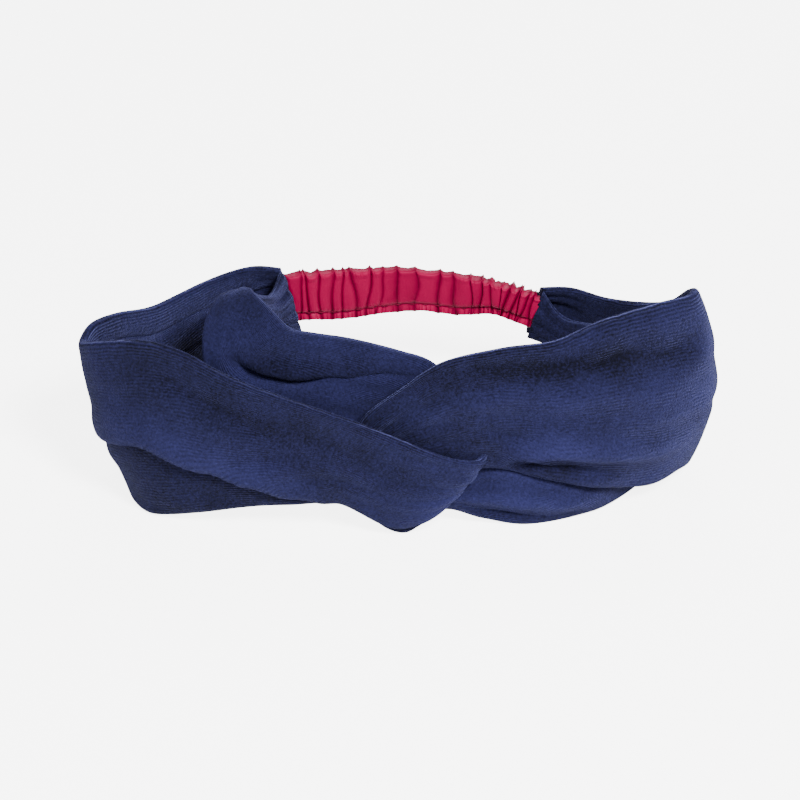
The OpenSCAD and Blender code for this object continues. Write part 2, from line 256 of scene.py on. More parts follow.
class HeadbandSizes(bpy.types.PropertyGroup):
    """Sizes of the knit, the satin and the stitching."""

    strap_width: FloatProperty(
        name="Strap width", description="Width of a strap laid flat", default=0.072,
        unit="LENGTH")
    strap_thickness: FloatProperty(
        name="Strap thickness", description="Both walls of a strap and the air between them",
        default=0.0032, unit="LENGTH")
    rib_pitch: FloatProperty(
        name="Rib pitch", description="From one rib of the knit to the next", default=0.00125,
        unit="LENGTH")
    satin_swell: FloatProperty(
        name="Casing thickness", description="Thickness of the ruched casing, front to back",
        default=0.0052, unit="LENGTH")
    gather_depth: FloatProperty(
        name="Gather depth", description="Height of a gather over the hollow beside it",
        default=0.0015, unit="LENGTH")
    ruffle_height: FloatProperty(
        name="Ruffle height", description="Height of the ruffle under the casing's stitch row",
        default=0.003, unit="LENGTH")
    casing_cut_width: FloatProperty(
        name="Casing cut width", description="Half of the distance round the casing laid flat",
        default=0.0205, unit="LENGTH")
    fullness: FloatProperty(
        name="Fullness", description="Length of the casing laid flat over its gathered length",
        default=1.45)
    elastic_width: FloatProperty(
        name="Elastic width", description="Width of the woven elastic", default=0.01,
        unit="LENGTH")
    elastic_thickness: FloatProperty(
        name="Elastic thickness", description="Thickness of the woven elastic", default=0.001,
        unit="LENGTH")
    thread_thickness: FloatProperty(
        name="Thread thickness", description="Thickness of the sewing thread", default=0.0005,
        unit="LENGTH")
    stitch_length: FloatProperty(
        name="Stitch length", description="Length of one stitch", default=0.003, unit="LENGTH")
    stitch_gap: FloatProperty(
        name="Stitch gap", description="Space between two stitches of a row", default=0.0015,
        unit="LENGTH")


class HeadbandLook(bpy.types.PropertyGroup):
    """Colours of the cloths, threads and floor."""

    # The velvet's colour goes from navy to brushed navy by its ribs, its pile and the straps'
    # painted light and shade.
    navy: FloatVectorProperty(
        name="Navy", description="Colour of the velvet seen straight on", subtype="COLOR",
        size=3, min=0, max=1, default=(0.0006, 0.0007, 0.0045))
    navy_nap: FloatVectorProperty(
        name="Brushed navy", description="Colour of the velvet where its pile lies over",
        subtype="COLOR", size=3, min=0, max=1, default=(0.024, 0.025, 0.1))
    crimson: FloatVectorProperty(
        name="Crimson", description="Colour of the satin", subtype="COLOR", size=3, min=0,
        max=1, default=(0.31, 0.0, 0.046))
    # the satin's colour in its painted shade, in the hollows of the gathers
    crimson_painted_shade: FloatVectorProperty(
        name="Deep crimson", description="Colour of the satin in its folds", subtype="COLOR",
        size=3, min=0, max=1, default=(0.075, 0.0, 0.011))
    white: FloatVectorProperty(
        name="Elastic white", description="Colour of the woven elastic", subtype="COLOR",
        size=3, min=0, max=1, default=(0.82, 0.81, 0.78))
    floor: FloatVectorProperty(
        name="Floor", description="Colour of the floor", subtype="COLOR", size=3, min=0,
        max=1, default=(0.93, 0.93, 0.94))


def sizes():
    return bpy.context.scene.headband_sizes


def look():
    return bpy.context.scene.headband_look


# ---------------------------------------------------------------- curves and surfaces


def through(rows, u):
    """Smooth curve through rows of values, one row a step: the Catmull-Rom blend of the four
    rows round each place u."""
    rows = np.asarray(rows, float)
    last = len(rows) - 1
    i = np.clip(np.floor(u).astype(int), 0, last - 1)
    t = (u - i)[:, None]
    a, b = rows[np.maximum(i - 1, 0)], rows[i]
    c, d = rows[i + 1], rows[np.minimum(i + 2, last)]
    return 0.5 * (2 * b + (c - a) * t + (2 * a - 5 * b + 4 * c - d) * t**2
                  + (3 * b - a - 3 * c + d) * t**3)


def unit(v):
    return v / np.maximum(np.linalg.norm(v, axis=-1, keepdims=True), 1e-12)


def smoothstep(x):
    x = np.clip(x, 0, 1)
    return x * x * (3 - 2 * x)


def even_steps(route, start, stop, count):
    """Places from start to stop along a route, evenly spaced by length along its middle."""
    fine = np.linspace(start, stop, ROUTE_SAMPLES)
    edges = [through([row[k] for row in route], fine) for k in (0, 1)]
    middle = (edges[0] + edges[1]) / 2
    run = np.r_[0, np.cumsum(np.linalg.norm(np.diff(middle, axis=0), axis=1))]
    return np.interp(np.linspace(0, run[-1], count), run, fine), run[-1] * MM


class Ribbon:
    """A route's edges, heading and face direction at places u, in metres. The face direction is
    square to the heading and to the width, and side, 1 or -1, says which of the two ways."""

    def __init__(self, route, u, side):
        self.top = through([row[0] for row in route], u) * MM
        self.low = through([row[1] for row in route], u) * MM
        self.bow = through([[row[2]] for row in route], u)[:, 0] * MM
        middle = (self.top + self.low) / 2
        self.heading = unit(np.gradient(middle, axis=0))
        self.width = np.linalg.norm(self.top - self.low, axis=1)
        self.up = unit(self.top - self.low)
        self.out = side * unit(np.cross(self.heading, self.up))
        self.run = np.r_[0, np.cumsum(np.linalg.norm(np.diff(middle, axis=0), axis=1))]


def waves(seed, count, low, high):
    """Random sine waves: rows of (frequency, phase, share)."""
    rng = np.random.default_rng(seed)
    share = rng.uniform(0.4, 1, count)
    return np.c_[rng.uniform(low, high, count), rng.uniform(0, 2 * math.pi, count),
                 share / np.sqrt((share**2).sum() / 2)]


def wavy(x, table):
    """Sum of the table's sine waves at x: about as often under 0 as over it."""
    return sum(share * np.sin(frequency * x + phase) for frequency, phase, share in table)


def fold_shape(folds, u, w):
    """Height of the lengthwise folds at steps u and width shares w, and how far each one hangs
    down over what lies below it. A fold is a bell curve across the strap, with its own width on
    each side of its middle; its middle, height and widths change smoothly along the strap. A fold
    with a steep lower slope hangs over it by a share of its height, in a narrow bell."""
    height = np.zeros((len(u), w.shape[-1]))
    hang = np.zeros_like(height)
    for fold in folds:
        steps, *columns = np.array(fold, float).T
        centre, tall, below, above = [
            smooth_between(u, steps, column)[:, None] for column in columns]
        wide = np.where(w < centre, below, above)
        height += tall * np.exp(-(((w - centre) / wide) ** 2))
        steep = np.clip((STEEP - below) / STEEP * 2, 0, 1)
        hang += OVERHANG * steep * np.abs(tall) * np.exp(-(((w - centre) / (1.5 * below)) ** 2))
    return height * MM, hang * MM


def smooth_between(u, steps, values):
    """Values at u, going from one step's value to the next one's along an S curve."""
    i = np.clip(np.searchsorted(steps, u) - 1, 0, len(steps) - 2)
    t = smoothstep((u - steps[i]) / (steps[i + 1] - steps[i]))
    return values[i] + (values[i + 1] - values[i]) * t


def grid_faces(points, uv):
    """Vertices, face corners, corners a face and map of a tube: rows of points run along it and
    each row is a closed ring. A fan closes each end. Faces point outwards if the ring turns to
    the right, seen along the tube."""
    rows, cols = points.shape[:2]
    i, j = np.meshgrid(np.arange(rows - 1), np.arange(cols), indexing="ij")
    k = (j + 1) % cols
    quads = np.stack([i * cols + j, i * cols + k, (i + 1) * cols + k, (i + 1) * cols + j], -1)
    quad_uv = np.stack([uv[i, j], uv[i, j + 1], uv[i + 1, j + 1], uv[i + 1, j]], 2)
    ring = np.arange(cols)
    after = (ring + 1) % cols
    hub = np.full(cols, rows * cols)
    base = (rows - 1) * cols
    first = np.stack([hub, after, ring], -1)
    last = np.stack([hub + 1, base + ring, base + after], -1)
    cap_uv = np.repeat(uv[[0, -1], 0], 3 * cols, axis=0)
    vertices = np.vstack([points.reshape(-1, 3), points[0].mean(0), points[-1].mean(0)])
    corners = np.r_[quads.ravel(), first.ravel(), last.ravel()]
    counts = np.r_[np.full(quads.size // 4, 4), np.full(2 * cols, 3)]
    return vertices, corners, counts, np.vstack([quad_uv.reshape(-1, 2), cap_uv])


def tube_piece(name, tubes, material):
    """One mesh object that holds some closed tubes, each given as its points and its map."""
    parts = [grid_faces(points, uv) for points, uv in tubes]
    starts = np.r_[0, np.cumsum([len(part[0]) for part in parts])[:-1]]
    vertices = np.vstack([part[0] for part in parts])
    corners = np.concatenate([part[1] + start for part, start in zip(parts, starts)])
    counts = np.concatenate([part[2] for part in parts])
    uv = np.vstack([part[3] for part in parts])
    mesh = bpy.data.meshes.new(name)
    mesh.vertices.add(len(vertices))
    mesh.vertices.foreach_set("co", vertices.astype(np.float32).ravel())
    mesh.loops.add(len(corners))
    mesh.loops.foreach_set("vertex_index", corners.astype(np.int32))
    mesh.polygons.add(len(counts))
    first = np.r_[0, np.cumsum(counts)[:-1]]
    mesh.polygons.foreach_set("loop_start", first.astype(np.int32))
    mesh.polygons.foreach_set("use_smooth", counts == 4)
    mesh.update(calc_edges=True)
    layer = mesh.uv_layers.new(name="cloth")
    layer.data.foreach_set("uv", uv.astype(np.float32).ravel())
    mesh.materials.append(material)
    piece = bpy.data.objects.new(name, mesh)
    bpy.context.scene.collection.objects.link(piece)
    return piece


def paint(piece, points, values):
    """Write a value on each vertex of a one-tube piece, as the attribute "shade": values has the
    shape of the tube's grid, whose rings tube_piece may have turned round."""
    if not np.allclose(outwards(points, points)[0][0], points[0]):
        values = values[:, ::-1]
    values = np.r_[values.ravel(), values[0].mean(), values[-1].mean()]
    attribute = piece.data.attributes.new("shade", "FLOAT", "POINT")
    attribute.data.foreach_set("value", values.astype(np.float32))


# ---------------------------------------------------------------- materials


def new_material(name):
    """An empty node material with one Principled shader, and its nodes and links."""
    material = bpy.data.materials.new(name)
    material.use_nodes = True
    tree = material.node_tree
    tree.nodes.clear()
    shader = tree.nodes.new("ShaderNodeBsdfPrincipled")
    output = tree.nodes.new("ShaderNodeOutputMaterial")
    tree.links.new(shader.outputs["BSDF"], output.inputs["Surface"])
    return material, tree, shader


def node(tree, kind, links=(), **values):
    """A node of one kind with its settings and inputs: a name in values is a setting of the node
    or, with _ for a space, an input; links gives (output socket, input name or number)."""
    made = tree.nodes.new("ShaderNode" + kind)
    for key, value in values.items():
        if hasattr(made, key):
            setattr(made, key, value)
        else:
            made.inputs[key.replace("_", " ")].default_value = value
    for socket, target in links:
        tree.links.new(socket, made.inputs[target])
    return made


def maths(tree, operation, *inputs):
    """Output of a Math node whose inputs are sockets or numbers."""
    made = tree.nodes.new("ShaderNodeMath")
    made.operation = operation
    for target, value in zip(made.inputs, inputs):
        if isinstance(value, (int, float)):
            target.default_value = value
        else:
            tree.links.new(value, target)
    return made.outputs[0]


def noise(tree, vector, scale, detail=2.0, roughness=0.5):
    made = node(tree, "TexNoise", [(vector, "Vector")], Scale=scale, Detail=detail,
                Roughness=roughness)
    return made.outputs["Fac"]


def two_colours(tree, share, low, high):
    """Output of a mix from one colour to another by share, 0 to 1."""
    made = tree.nodes.new("ShaderNodeMix")
    made.data_type = "RGBA"
    made.inputs[6].default_value = (*low, 1)
    made.inputs[7].default_value = (*high, 1)
    tree.links.new(share, made.inputs[0])
    return made.outputs[2]


def settings(shader, **values):
    for key, value in values.items():
        shader.inputs[key.replace("_", " ")].default_value = value


def velvet_material():
    """Velvet knit: dark navy pile with the straps' painted light and shade, partly the lie of the
    nap, from the attribute "shade"; lighter where it is seen from the side, through the shader's
    sheen;
    with fine ribs that follow the cloth's own map."""
    material, tree, shader = new_material("velvet knit")
    settings(shader, Roughness=0.85, Specular_IOR_Level=0.12, Sheen_Weight=0.18,
             Sheen_Roughness=0.35, Sheen_Tint=(0.36, 0.39, 1.0, 1))
    place = node(tree, "TexCoord").outputs["Object"]
    cloth = node(tree, "UVMap", uv_map="cloth").outputs["UV"]
    across = node(tree, "SeparateXYZ", [(cloth, 0)]).outputs["Y"]

    # ribs: a sine across the cloth, which the nap sways a little and breaks up
    sway = maths(tree, "MULTIPLY_ADD", noise(tree, place, 180), sizes().rib_pitch, across)
    rib = maths(tree, "SINE", maths(tree, "MULTIPLY", sway, 2 * math.pi / sizes().rib_pitch))
    bands = noise(tree, place, 90, 3)
    clear = node(tree, "MapRange", [(bands, "Value")], From_Min=0.4, From_Max=0.62, To_Min=0.08,
                 To_Max=0.8).outputs["Result"]
    upper = maths(tree, "PINGPONG", across, sizes().strap_width)
    near = node(tree, "MapRange", [(upper, "Value")], From_Max=EDGE_RIBS, To_Min=1.3, To_Max=0.0)
    ribs = maths(tree, "MULTIPLY", rib, maths(tree, "ADD", clear, near.outputs["Result"]))
    pile = noise(tree, place, 1150, 4, 0.7)
    nap = noise(tree, place, 60, 3, 0.6)
    # lean: the straps' painted light and shade, partly the lie of the pile's nap
    lean = node(tree, "Attribute", attribute_name="shade").outputs["Fac"]

    tone = maths(tree, "MULTIPLY_ADD", ribs, 0.14, maths(tree, "MULTIPLY", pile, 1.7))
    tone = maths(tree, "MULTIPLY_ADD", nap, 0.6, tone)
    tone = maths(tree, "MULTIPLY_ADD", lean, 0.8, tone)
    tone = node(tree, "MapRange", [(tone, "Value")], From_Min=0.78, From_Max=2.05).outputs[0]
    tree.links.new(two_colours(tree, tone, look().navy, look().navy_nap),
                   shader.inputs["Base Color"])

    height = maths(tree, "MULTIPLY_ADD", pile, 4.5, ribs)
    bump = node(tree, "Bump", [(height, "Height")], Strength=0.7, Distance=0.0003)
    tree.links.new(bump.outputs["Normal"], shader.inputs["Normal"])
    return material


def satin_material():
    """Satin: crimson, smooth with a soft gloss, with painted shade that deepens it in the hollows
    of its gathers and towards its edges, with a fine weave and thin creases."""
    material, tree, shader = new_material("ruched satin")
    settings(shader, Roughness=0.4, Specular_IOR_Level=0.2, Specular_Tint=(1.0, 0.3, 0.5, 1))
    place = node(tree, "TexCoord").outputs["Object"]
    cloth = node(tree, "UVMap", uv_map="cloth").outputs["UV"]
    # the casing's painted shade: darker in the hollows of its gathers and at its edges
    hollow = node(tree, "Attribute", attribute_name="shade").outputs["Fac"]
    tone = maths(tree, "MULTIPLY_ADD", noise(tree, place, 260), 0.35, hollow)
    tone = node(tree, "MapRange", [(tone, "Value")], From_Min=0.15, From_Max=1.15).outputs[0]
    tree.links.new(two_colours(tree, tone, look().crimson_painted_shade, look().crimson),
                   shader.inputs["Base Color"])
    weave = node(tree, "TexWave", [(cloth, "Vector")], Scale=900.0, Distortion=1.5).outputs["Fac"]
    creases = noise(tree, place, 480, 3, 0.6)
    height = maths(tree, "MULTIPLY_ADD", weave, 0.1, creases)
    bump = node(tree, "Bump", [(height, "Height")], Strength=0.4, Distance=0.0004)
    tree.links.new(bump.outputs["Normal"], shader.inputs["Normal"])
    return material


def elastic_material():
    """Woven elastic: white, with cords along it and weft across it."""
    material, tree, shader = new_material("woven elastic")
    settings(shader, Roughness=0.8, Sheen_Weight=0.2)
    cloth = node(tree, "UVMap", uv_map="cloth").outputs["UV"]
    cords = node(tree, "TexWave", [(cloth, "Vector")], bands_direction="Y", Scale=320.0)
    weft = node(tree, "TexWave", [(cloth, "Vector")], bands_direction="X", Scale=420.0)
    weave = maths(tree, "MULTIPLY_ADD", weft.outputs["Fac"], 0.5, cords.outputs["Fac"])
    white = look().white
    tree.links.new(two_colours(tree, weave, [c * 0.7 for c in white], white),
                   shader.inputs["Base Color"])
    bump = node(tree, "Bump", [(weave, "Height")], Strength=0.5, Distance=0.0003)
    tree.links.new(bump.outputs["Normal"], shader.inputs["Normal"])
    return material


def thread_material(name, colour):
    """Sewing thread: twisted plies, darker between them."""
    material, tree, shader = new_material(name)
    settings(shader, Roughness=0.7, Specular_IOR_Level=0.15)
    cloth = node(tree, "UVMap", uv_map="cloth").outputs["UV"]
    twist = node(tree, "TexWave", [(cloth, "Vector")], bands_direction="DIAGONAL", Scale=900.0)
    twist = twist.outputs["Fac"]
    tree.links.new(two_colours(tree, twist, [c * 0.55 for c in colour], colour),
                   shader.inputs["Base Color"])
    bump = node(tree, "Bump", [(twist, "Height")], Strength=0.6, Distance=0.0001)
    tree.links.new(bump.outputs["Normal"], shader.inputs["Normal"])
    return material


def floor_material():
    """Matt pale floor with the faintest unevenness, lit up for the camera alone, so that its
    glow doesn't reach the band."""
    material, tree, shader = new_material("pale floor")
    settings(shader, Roughness=0.8, Specular_IOR_Level=0.1, Emission_Color=(1, 1, 1, 1))
    seen = node(tree, "LightPath").outputs["Is Camera Ray"]
    tree.links.new(maths(tree, "MULTIPLY", seen, FLOOR_GLOW), shader.inputs["Emission Strength"])
    place = node(tree, "TexCoord").outputs["Object"]
    pale = look().floor
    tree.links.new(two_colours(tree, noise(tree, place, 3), [c * 0.985 for c in pale], pale),
                   shader.inputs["Base Color"])
    return material


# ---------------------------------------------------------------- straps


def tube_share(columns):
    """Shares of the width round a flat tube, from the upper edge down the front and up the back,
    closer together at the edges, and the side, 1 or -1, that each is on."""
    half = columns // 2
    share = 0.5 + 0.5 * np.cos(math.pi * np.arange(half + 1) / half)
    side = np.r_[0, np.ones(half - 1), 0, -np.ones(half - 1)]
    return np.r_[share, share[-2:0:-1]], side, half


def normals(sheet):
    """Unit vectors square to a grid of points, from how it changes along and across."""
    return unit(np.cross(np.gradient(sheet, axis=0), np.gradient(sheet, axis=1)))


def strap_shape(route, folds, nap, side, seed):
    """Points, map and lightness of a whole strap, a flat tube with rounded edges. The middle sheet
    runs from edge to edge, with the bow and the lengthwise folds added along the face direction;
    the two walls stand off it by half the thickness, which falls to nothing at the edges as a
    quarter circle does. Pleats grow towards both cuffs, where the wide tube is gathered to fit.
    Painted highlight lies on the ridges of the folds and painted shade in their hollows."""
    last = len(route) - 1
    u, length = even_steps(route, 0, last, STRAP_ROWS)
    ribbon = Ribbon(route, u, side)
    w, face, half = tube_share(STRAP_COLUMNS)
    along = ribbon.run[:, None]

    folded, hang = fold_shape(folds, u, w[None, :])
    lift = 4 * w * (1 - w) * ribbon.bow[:, None] + folded
    gathered = np.maximum(smoothstep(1 - u / PLEAT_STEPS),
                          smoothstep((u - last + PLEAT_STEPS) / PLEAT_STEPS))[:, None]
    pleats = np.sin(7 * math.pi * w + 0.7) + 0.5 * np.sin(12 * math.pi * w + 2)
    lift = lift + gathered * PLEAT_HEIGHT * pleats
    tight = 1 - np.clip(ribbon.width[:, None] / sizes().strap_width, 0, 1)
    drift = w + 0.05 * wavy(along, waves(seed, 4, 20, 60))
    swell = 0.5 + 0.5 * wavy(along, waves(seed + 2, 3, 15, 45))
    wrinkles = wavy(drift, waves(seed + 1, 9, 8, 40)) * swell
    lift = lift + wrinkles * (0.08 + 0.14 * tight) * MM
    dents = wavy(along + 0.02 * np.sin(9 * w), waves(seed + 5, 5, 90, 240))
    dents = dents * np.sin(3 * w + 40 * along)
    lift = lift + 0.3 * MM * dents

    sheet = ribbon.low[:, None] + (ribbon.top - ribbon.low)[:, None] * w[:, None]
    sheet = sheet + ribbon.out[:, None] * lift[..., None] - ribbon.up[:, None] * hang[..., None]

    edge = np.minimum(w, 1 - w) * ribbon.width[:, None] / EDGE_RADIUS
    rounding = np.sqrt(1 - (1 - np.clip(edge, 0, 1)) ** 2)
    stand = face * rounding * sizes().strap_thickness / 2
    square = normals(sheet[:, : half + 1])
    square = np.concatenate([square, square[:, -2:0:-1]], axis=1)
    square *= np.sign((square * ribbon.out[:, None]).sum(-1).mean())
    points = sheet + square * stand[..., None]
    points[..., 2] = np.maximum(points[..., 2], 0)

    round_share = np.r_[1 - w[: half + 1], 1 + w[half + 1 :], 2]
    uv = np.empty((STRAP_ROWS, STRAP_COLUMNS + 1, 2))
    uv[..., 0] = along
    uv[..., 1] = round_share * sizes().strap_width

    # painted light and shade: the table's lightness, partly the pile's nap, plus painted highlight
    # and shade on the folds
    steps, lower, upper = np.array(nap, float).T
    lower, upper = (smooth_between(u, steps, row)[:, None] for row in (lower, upper))
    nap_and_painted_light = lower + (upper - lower) * smoothstep(w * 1.6 - 0.3) + FOLD_PAINTED_LIGHT * folded / MM
    return points, uv, nap_and_painted_light, length, ribbon


def outwards(points, uv):
    """The same tube with its rings turned so that its faces point outwards: the volume that they
    enclose, summed from the origin, is over 0."""
    centre = points.mean((0, 1))
    a, b = points[:-1] - centre, np.roll(points, -1, axis=1)[:-1] - centre
    c = np.roll(points, -1, axis=1)[1:] - centre
    if (np.cross(a, b) * c).sum() > 0:
        return points, uv
    return points[:, ::-1], uv[:, ::-1]


def make_strap(name, material, route, folds, nap, side, seed, wing, bend, stands_for):
    """One whole strap. Its wing and its bend, two distances back from the knot, are not used.
    The area check can't judge this piece.
    """
    points, uv, nap_and_painted_light, length, ribbon = strap_shape(route, folds, nap, side, seed)
    piece = tube_piece(name, [outwards(points, uv)], material)
    # the strap's painted light and shade, with its nap, go on as the attribute "shade"
    paint(piece, points, nap_and_painted_light)
    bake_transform(piece)
    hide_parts(*stands_for)
    return piece


# ---------------------------------------------------------------- casing


def creases(length, table, seed):
    """The folds that cross a casing, one row each: place along it, lean, sway, phase of the sway,
    half widths of the slopes after and before it, height of the panel after it, and depth."""
    rng = np.random.default_rng(seed)
    share, spacing, _ = np.array(table).T
    at = [-3 * MM]
    while at[-1] < length + 3 * MM:
        usual = np.interp(at[-1] / length, share, spacing) * MM
        at.append(at[-1] + usual * rng.uniform(0.55, 1.45))
    gap = np.diff(at, append=at[-1] + spacing[-1] * MM)
    count = len(at)
    steep, gentle = rng.uniform(0.07, 0.12, count) * gap, rng.uniform(0.16, 0.34, count) * gap
    swap = rng.uniform(size=count) < 0.4
    return np.c_[at, rng.uniform(-0.3, 0.3, count) * gap, rng.uniform(0, 0.14, count) * gap,
                 rng.uniform(0, 2 * math.pi, count), np.where(swap, gentle, steep),
                 np.where(swap, steep, gentle), rng.uniform(0.6, 1, count),
                 rng.uniform(0.5, 1, count)]


def gathers(run, w, folds):
    """Height, 0 to 1, of the cloth between the folds at distances run along the casing and shares
    w up it. Each panel rises out of the fold on either side of it as 1 - depth *
    exp(-distance / slope), and swells in its middle as t * (1 - t)."""
    at, lean, sway, phase, after, before, tall, deep = folds.T
    height = np.empty((len(run), len(w)))
    for column, share in enumerate(w):
        line = np.sort(at + lean * (2 * share - 1) + sway * np.sin(6 * share + phase))
        k = np.clip(np.searchsorted(line, run) - 1, 0, len(line) - 2)
        left, right = run - line[k], line[k + 1] - run
        rise = 1 - deep[k] * np.exp(-left / after[k]) - deep[k + 1] * np.exp(-right / before[k])
        dome = 4 * left * right / (left + right) ** 2
        panel = tall[k] + (1 - tall[k]) * (1 - dome)
        height[:, column] = panel * np.clip(rise, 0, 1) + 0.3 * dome
    return height


def casing_shape(seed=41):
    """Points, map and painted fold shade of the whole casing. Its tube is swollen between the upper
    edge and the stitch row, drawn in at the row, and below it runs out in a thin ruffle. Folds
    cross both faces; the cloth stands up a little where they meet the edges. It lies flat in the
    cuffs."""
    u, length = even_steps(CASING_ROUTE, 0, len(CASING_ROUTE) - 1, CASING_ROWS)
    ribbon = Ribbon(CASING_ROUTE, u, 1)
    w, face, half = tube_share(CASING_COLUMNS)
    width = ribbon.width[:, None]
    row = sizes().ruffle_height / width
    up_row = w - row

    front = gathers(ribbon.run, w, creases(length, GATHERS, seed))
    back = gathers(ribbon.run, w, creases(length, GATHERS, seed + 9))
    small = gathers(ribbon.run, w, creases(length, SMALL_GATHERS, seed + 20))
    near_edge = np.clip((0.4 - w) / 0.25, 0, 1) + np.clip((w - 0.86) / 0.1, 0, 1)
    patches = smoothstep(0.5 + wavy(ribbon.run, waves(seed + 30, 4, 60, 160)))[:, None]
    ridge = np.where(face >= 0, front, back) - 0.35 * (1 - small) * near_edge * patches
    share, _, deep = np.array(GATHERS).T
    deep = np.interp(ribbon.run / length, share, deep)[:, None]

    puff = np.sqrt(np.clip(1 - (2 * up_row / (1 - row) - 1) ** 2, 0, 1))
    puff = np.where(up_row > 0, puff, 0)
    drawn = 1 - 0.3 * np.exp(-((up_row * width / (0.9 * MM)) ** 2))
    body = (sizes().satin_swell / 2 - sizes().gather_depth) * puff ** 0.6
    depth = sizes().gather_depth * deep * np.clip(0.45 + puff, 0, 1)
    stand = 0.7 * MM + (body + depth * ridge) * drawn
    ends = np.minimum(ribbon.run, length - ribbon.run)[:, None] / CUFF_FLAT
    stand = stand * (0.65 + 0.35 * smoothstep(ends))
    edge = np.clip(np.minimum(w, 1 - w) * width / (0.6 * MM), 0, 1)
    stand = stand * np.sqrt(1 - (1 - edge) ** 2)

    # waves of the two edges, and of the ruffle below the row
    free = np.clip(-up_row / row, 0, 1)
    upper = np.clip((w - 0.85) / 0.15, 0, 1)
    flutter = (small - 0.5) * 0.9 * MM * free + (front - 0.5) * 1.1 * MM * (free + upper)
    scallop = (0.8 - front) * 1.3 * MM * upper * deep - (0.8 - front) * 1.2 * MM * free
    scallop = scallop - (1 - small) * 0.6 * MM * free
    base = ribbon.low[:, None] + (ribbon.top - ribbon.low)[:, None] * w[:, None]
    points = base + ribbon.out[:, None] * (face * stand + flutter)[..., None]
    points = points + ribbon.up[:, None] * scallop[..., None]

    # painted shade: darker in the hollows between the gathers and, by the edge term, towards the
    # casing's edges
    hollow = np.clip(ridge, 0, 1) * (0.7 + 0.3 * edge)
    uv = np.empty((CASING_ROWS, CASING_COLUMNS + 1, 2))
    uv[..., 0] = ribbon.run[:, None] * sizes().fullness
    uv[..., 1] = np.r_[1 - w[: half + 1], 1 + w[half + 1 :], 2] * ribbon.width.mean()
    return points, uv, hollow, u, ribbon.run


def make_casing_half(name, rows, points, uv, hollow):
    """Half of the casing, from its cuff to the split in the middle, where the two halves meet."""
    piece = tube_piece(name, [outwards(points[rows], uv[rows])], satin_material())
    # writes the gathers' painted shade as the attribute "shade"
    paint(piece, points[rows], hollow[rows])
    stretch(piece)
    return piece


def stretch(piece):
    """Bake a piece's placing into its mesh."""
    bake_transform(piece)


# ---------------------------------------------------------------- elastic and stitching


def tape_shape(u0, u1):
    """Points, map and length of a flat woven tape along the middle of the casing's route, with
    rounded edges and a small ripple along its length."""
    u, length = even_steps(CASING_ROUTE, u0, u1, TAPE_ROWS)
    ribbon = Ribbon(CASING_ROUTE, u, 1)
    w, face, half = tube_share(TAPE_COLUMNS)
    wide, thick = sizes().elastic_width, sizes().elastic_thickness
    run = ribbon.run[:, None]
    middle = (ribbon.top + ribbon.low) / 2
    edge = np.clip(np.minimum(w, 1 - w) * wide / thick * 2, 0, 1)
    stand = face * np.sqrt(1 - (1 - edge) ** 2) * thick / 2
    ripple = TAPE_RIPPLE_HEIGHT * np.sin(2 * math.pi * run / TAPE_RIPPLE)
    points = middle[:, None] + ribbon.up[:, None] * (wide * (w - 0.5))[:, None]
    points = points + ribbon.out[:, None] * (stand + ripple)[..., None]
    uv = np.empty((TAPE_ROWS, TAPE_COLUMNS + 1, 2))
    uv[..., 0] = run
    uv[..., 1] = np.r_[1 - w[: half + 1], 1 + w[half + 1 :], 2] * wide
    return points, uv, length


def stitch_tubes(starts, ends, outs):
    """Points and map of each stitch of a row: a thread that rises out of the cloth, lies along it
    as a low arch, and dives back in, where it tapers away."""
    starts, ends, outs = (np.asarray(v)[:, None, None] for v in (starts, ends, outs))
    thick = sizes().thread_thickness
    t = np.linspace(0, 1, STITCH_RINGS)[None, :, None, None]
    turn = (2 * math.pi * np.arange(STITCH_SIDES) / STITCH_SIDES)[None, None, :, None]
    across = np.cross(unit(ends - starts), outs)
    arch = (1.2 * np.sin(math.pi * t) ** 0.5 - 0.8) * thick
    radius = np.sin(math.pi * np.clip(t, 0.03, 0.97)) ** 0.35 * thick / 2
    tubes = starts + (ends - starts) * t + outs * arch
    tubes = tubes + (outs * np.sin(turn) + across * np.cos(turn)) * radius
    uv = np.empty((STITCH_RINGS, STITCH_SIDES + 1, 2))
    uv[..., 0] = np.linspace(0, sizes().stitch_length, STITCH_RINGS)[:, None]
    uv[..., 1] = np.linspace(0, math.pi * thick, STITCH_SIDES + 1)
    return [outwards(tube, uv) for tube in tubes]


def on_tube(points, w, face, row, share, side):
    """Place on a tube's surface at a row and a share of its width, on one side, and the way out
    of it: away from the other side."""
    column = np.argmin(np.abs(w - share) + 9 * (face != side))
    other = np.argmin(np.abs(w - share) + 9 * (face != -side))
    place = points[row, column]
    return place, unit(place - points[row, other])


def seam(points, columns, rows, share, side, pitch, slant=0):
    """Starts, ends and ways out of a row of stitches along a tube, at a share of its width."""
    w, face, _ = tube_share(columns)
    middle = np.linspace(rows[0], rows[1], SEAM_SAMPLES).astype(int)
    line = [on_tube(points, w, face, row, share, side) for row in middle]
    places, outs = np.array([p for p, _ in line]), np.array([o for _, o in line])
    run = np.r_[0, np.cumsum(np.linalg.norm(np.diff(places, axis=0), axis=1))]
    count = int(run[-1] / pitch)
    at = (np.arange(count) + 0.5) * run[-1] / count
    half = sizes().stitch_length / 2
    starts, ends = (np.stack([np.interp(at + s * half, run, places[:, k]) for k in range(3)], -1)
                    for s in (-1, 1))
    square = np.stack([np.interp(at, run, outs[:, k]) for k in range(3)], -1)
    lean = np.cross(unit(ends - starts), square) * slant
    return starts - lean, ends + lean, unit(square)


